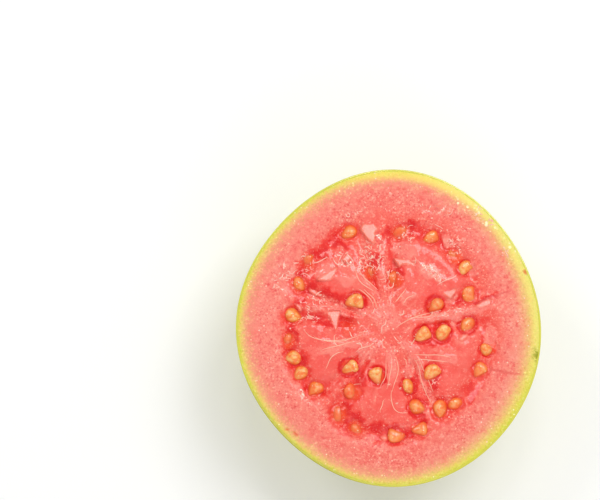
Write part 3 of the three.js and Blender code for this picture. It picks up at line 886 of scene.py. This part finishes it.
def seed_rings():
    """Seeds as rings from end to end. A ring's place is -cos of slant along the seed and its size sin of
    slant, narrower towards one end by taper. Cosine waves along and round it give blunt corners, its middle
    line is pushed aside by bend times sin^2 and tip times sin of twice the slant, and one end lies higher."""
    along = -np.cos(slant) * (1 + 0 * roll)
    narrower = 1 - (SEED_TAPER[0] + SEED_TAPER[1] * taper) * np.cos(slant)
    girth = np.sin(slant) ** SEED_BLUNT * narrower / SEED_SLIM
    girth = girth * (1 + SEED_CORNERS * np.cos(3 * slant + 6 * edge))
    girth = girth * (1 + SEED_CORNERS * np.cos(3 * roll + 6 * edge))
    pushed = (SEED_BEND[0] + SEED_BEND[1] * bend**2) * (np.sin(slant) ** 2 - 0.5)
    aside = girth * np.cos(roll) + pushed + SEED_TWIST * (tip - 0.5) * np.sin(2 * slant)
    over = girth * np.sin(roll)
    size = seed_size[:, None, None]
    x = along * SEED_STRETCH * SEED_LENGTH / 2 * size
    y = aside * SEED_WIDTH / 2 * size
    z = over * SEED_FLAT * SEED_HEIGHT / 2 * size + x * SEED_LEAN * (tip - 0.5)
    turn = seed_turn[:, None, None]
    world_x = seed_x[:, None, None] + x * np.cos(turn) - y * np.sin(turn)
    world_y = seed_y[:, None, None] + x * np.sin(turn) + y * np.cos(turn)
    return np.stack([world_x, world_y, z + seed_z[:, None, None]], -1)


seed_points = seed_rings()
seed_points[..., :2] -= core
high_up = (seed_points[..., 2] - seed_z[:, None, None]) / (SEED_HEIGHT / 2)
veil = np.where(seed_cover > 0, COVERED_VEIL, VEIL)
veil[BARE_SEEDS] = 0
seeds = closed_mesh("guava_seeds", seed_points, veil=veil[:, None, None], top=high_up)

husk = Finish(
    "guava_seed", Coat_Weight=0.6, Coat_Roughness=0.1, Roughness=0.38, IOR=1.45,
    Subsurface_Weight=0.6, Subsurface_Radius=(1.0, 0.45, 0.15), Subsurface_Scale=0.0012,
)
top = husk.mark("top")
mottle = husk.noise(0.9, 3.0, 0.65)
bare = top - husk.mark("veil") * 0.35
# Each seed runs from orange-red sides to a lighter, yellower top, partly its own colour and partly painted
# highlight; the pale spots on the tops are partly painted highlight too
husk.tint = husk.mix(bare.over(0.0, 0.6), SEED_SIDE, SEED_LIT_TOP)
husk.lay(bare.over(0.3, 0.9) * mottle.over(0.42, 0.6) * 0.8, SEED_HIGHLIGHT_PALE)
husk.lay((1 - mottle.over(0.34, 0.48)) * 0.55, SEED_MOTTLE)
husk.lay(husk.mark("veil") * 0.7, SEED_VEILED)
sparkle = (1 - husk.cells(1.0).over(0.09, 0.17)) * top.over(0.2, 0.7)
husk.lay(sparkle * 0.8, SEED_SPARKLE)
husk.set(Base_Color=husk.tint, Normal=husk.bump(husk.noise(0.6, 3.0, 0.6), 0.14))
finished(seeds, husk)

# Fibres
# Pale thin strands of the flesh, left lying in the pulp where the knife passed. They run out from the core
# between the pockets of seeds, and curl round some of them.
STRANDS = [
    # x and y from the core in millimetres, at four places along the strand
    ((-8.3, 14.2), (-7.6, 12.0), (-5.9, 9.9), (-3.6, 8.6)),
    ((-7.6, 14.6), (-6.3, 12.2), (-4.5, 10.4), (-2.6, 9.0)),
    ((-7.6, 9.3), (-5.9, 8.1), (-4.5, 6.6), (-3.7, 4.6)),
    ((-6.2, 9.1), (-4.9, 8.0), (-3.7, 6.6), (-2.8, 4.2)),
    ((-20.3, -0.3), (-17.2, -2.7), (-12.0, -3.1), (-6.2, -1.3)),
    ((-18.0, -1.9), (-15.0, -3.3), (-11.7, -3.2), (-8.6, -2.4)),
    ((-16.6, -5.6), (-13.4, -4.5), (-10.8, -3.9), (-8.0, -3.2)),
    ((-15.3, -9.9), (-14.4, -8.0), (-13.0, -6.4), (-10.9, -5.6)),
    ((-8.3, -5.8), (-6.7, -5.0), (-5.2, -4.4), (-3.3, -3.3)),
    ((-1.0, -7.4), (-0.9, -10.0), (-1.4, -12.2), (-2.3, -14.2)),
    ((1.4, -6.7), (1.9, -9.4), (1.4, -12.4), (0.4, -15.1)),
    ((0.6, -14.6), (0.2, -17.1), (1.3, -19.4), (4.1, -20.0)),
    ((0.2, -6.5), (0.3, -9.2), (-0.1, -12.0), (-0.9, -14.6)),
    ((5.7, -7.6), (7.2, -10.9), (8.2, -14.8), (10.5, -18.6)),
    ((6.6, -7.2), (7.9, -9.8), (9.0, -12.4), (10.3, -15.2)),
    ((5.8, -7.9), (8.4, -7.6), (11.0, -7.8), (13.7, -8.3)),
    ((5.6, -6.5), (8.5, -6.4), (11.4, -6.6), (14.4, -7.0)),
    ((1.4, -0.1), (4.0, 1.6), (8.0, 3.1), (12.3, 4.2)),
    ((4.1, 2.0), (6.4, 2.4), (8.7, 2.6), (11.0, 3.0)),
    ((1.2, 5.8), (2.1, 7.0), (3.2, 8.2), (3.9, 9.6)),
    ((3.1, 5.8), (3.9, 6.6), (4.8, 7.3), (5.7, 7.8)),
    ((-6.9, -13.3), (-8.5, -13.6), (-10.2, -14.1), (-11.7, -14.9)),
    ((-2.3, -20.2), (-2.2, -19.0), (-1.8, -17.9), (-1.3, -17.0)),
    ((3.4, -7.0), (3.6, -7.6), (3.9, -8.2), (4.1, -8.9)),
    ((-12.6, -1.6), (-13.3, -2.6), (-12.7, -3.9), (-11.4, -4.4)),
    ((4.2, -3.0), (5.2, -3.6), (6.0, -2.7), (6.6, -1.9)),
]
STRAND_RADIUS = 0.10
STRAND_WAVER = 0.1
STRAND_ROWS = 26
STRAND_ROUND = 6
STRAND_LIFT = 0.03
STRAND_TIP = 0.05  # so that no end has a girth of nothing


def tubes(knots, rows, thick, waver):
    """Tubes along curves. A tube's middle line is the cubic through its four places, evenly spaced in t,
    wavers by small sines, and lies on the pulp. The tube thins towards both ends by sin^0.5 of the way."""
    t = np.linspace(0, 1, rows)[None, :]
    stops = (0, 1 / 3, 2 / 3, 1)
    weights = [math.prod((t - b) / (a - b) for b in stops if b != a) for a in stops]
    phase = np.arange(len(knots))[:, None]
    x = sum(knots[:, k, :1] * weights[k] for k in range(4)) + waver * np.sin(9 * t + phase)
    y = sum(knots[:, k, 1:] * weights[k] for k in range(4)) + waver * np.cos(8 * t + 2 * phase)
    way = np.arctan2(y, x)
    height = cut_face(way, np.hypot(x, y) / CUT_RADIUS / outline(way))[0] + STRAND_LIFT
    middle = np.stack([x, y, height], -1)
    along = np.gradient(middle, axis=1)
    along /= np.linalg.norm(along, axis=-1, keepdims=True)
    aside = np.stack([-along[..., 1], along[..., 0], 0 * x], -1)
    aside /= np.linalg.norm(aside, axis=-1, keepdims=True)
    over = np.cross(along, aside)
    roll = np.linspace(0, 2 * math.pi, STRAND_ROUND, endpoint=False)
    girth = thick * np.maximum(np.sin(math.pi * t), STRAND_TIP) ** 0.5
    girth = (girth + 0 * phase)[..., None, None]
    ring = aside[..., None, :] * np.cos(roll)[:, None] + over[..., None, :] * np.sin(roll)[:, None]
    rings = middle[..., None, :] + girth * ring
    rings[..., :2] -= core
    return rings


strands = closed_mesh("guava_fibres", tubes(np.array(STRANDS), STRAND_ROWS, STRAND_RADIUS, STRAND_WAVER))
fibre = Finish("guava_fibre", Base_Color=colour(255, 190, 162), Roughness=0.3, Coat_Weight=0.5)
finished(strands, fibre)

# Shreds
# The knife tore the wettest pulp, and short curled shreds of it stand up there. Their pale colour is
# painted highlight, standing in for the glints that the wet pulp catches. The longest are placed one by
# one, and the rest are strewn over the wet spots.
LONG_SHREDS = [
    # x and y from the core in millimetres, at four places along the shred
    ((-18.1, 16.3), (-17.5, 15.5), (-16.0, 16.1), (-14.6, 16.8)),
    ((-13.5, 16.7), (-12.9, 15.5), (-11.9, 14.8), (-10.6, 15.8)),
    ((-10.3, 18.1), (-9.7, 17.0), (-8.9, 16.1), (-8.6, 15.0)),
    ((-0.5, 10.6), (0.3, 9.5), (0.9, 10.1), (0.8, 11.2)),
    ((0.3, 14.1), (-0.1, 13.2), (-0.2, 12.4), (-0.5, 11.5)),
    ((-2.8, 15.2), (-2.2, 16.4), (-1.4, 17.0), (-0.8, 16.1)),
    ((13.2, 27.1), (14.3, 26.9), (15.0, 27.6), (14.6, 28.5)),
    ((10.6, 24.8), (11.5, 24.3), (12.2, 23.9), (12.8, 23.5)),
    ((11.2, 10.1), (13.2, 11.1), (14.9, 11.8), (16.1, 12.7)),
]
SHRED_COUNT = 145
SHRED_SHORTEST = 0.4
SHRED_LONGEST = 2.1
SHRED_CURL = 1.6
SHRED_RADII = (0.08, 0.17)
SHRED_WAVER = 0.04
DRY_SPOTS = [(-1.0, -1.5, 8.5, 6.0, 0), (2.0, -14.0, 6.0, 4.0, 0)]
THINLY = 0.35  # how thickly they lie on dry spots and on firm flesh, next to wet pulp
SHRED_ROWS = 12
SHRED_DRAW = 4406
PULP_RADIUS = 0.7 * CUT_RADIUS


def strewn_shreds():
    """Four places along each strewn shred. Its middle is drawn in one of the wet or dry ovals, at random over
    their area. Along it s goes from -0.5 to 0.5, and it lies off a straight line by curl times length times
    s^2."""
    draws = np.random.default_rng(SHRED_DRAW)
    spots = np.array(WET_SPOTS + DRY_SPOTS)
    area = spots[:, 2] * spots[:, 3]
    thin = np.hypot(spots[:, 0], spots[:, 1]) > PULP_RADIUS
    thin[len(WET_SPOTS):] = True
    area *= np.where(thin, THINLY, 1)
    chosen = draws.choice(len(spots), SHRED_COUNT, p=area / area.sum())
    at_x, at_y, half_length, half_width, heading = spots[chosen].T
    out = np.sqrt(draws.uniform(0, 1, SHRED_COUNT))
    round_it = draws.uniform(0, 2 * math.pi, SHRED_COUNT)
    along = out * np.cos(round_it) * half_length
    aside = out * np.sin(round_it) * half_width
    lean = np.radians(heading)
    mid_x = at_x + along * np.cos(lean) - aside * np.sin(lean)
    mid_y = at_y + along * np.sin(lean) + aside * np.cos(lean)
    longer = draws.uniform(0, 1, SHRED_COUNT)[:, None] ** 2
    length = SHRED_SHORTEST + (SHRED_LONGEST - SHRED_SHORTEST) * longer
    curl = draws.uniform(-SHRED_CURL, SHRED_CURL, SHRED_COUNT)[:, None]
    turn = draws.uniform(0, 2 * math.pi, SHRED_COUNT)[:, None]
    s = np.linspace(-0.5, 0.5, 4)[None, :]
    x = mid_x[:, None] + length * (s * np.cos(turn) - curl * s**2 * np.sin(turn))
    y = mid_y[:, None] + length * (s * np.sin(turn) + curl * s**2 * np.cos(turn))
    return np.stack([x, y], -1)


shred_places = np.concatenate([np.array(LONG_SHREDS), strewn_shreds()])
shred_radius = np.random.default_rng(SHRED_DRAW + 1).uniform(*SHRED_RADII, (len(shred_places), 1))
shreds = closed_mesh("guava_shreds", tubes(shred_places, SHRED_ROWS, shred_radius, SHRED_WAVER))
# The shreds' pale colour is painted highlight
shred_glint_finish = Finish("guava_shred", Base_Color=colour(255, 190, 170), Roughness=0.25, Coat_Weight=0.6)
finished(shreds, shred_glint_finish)
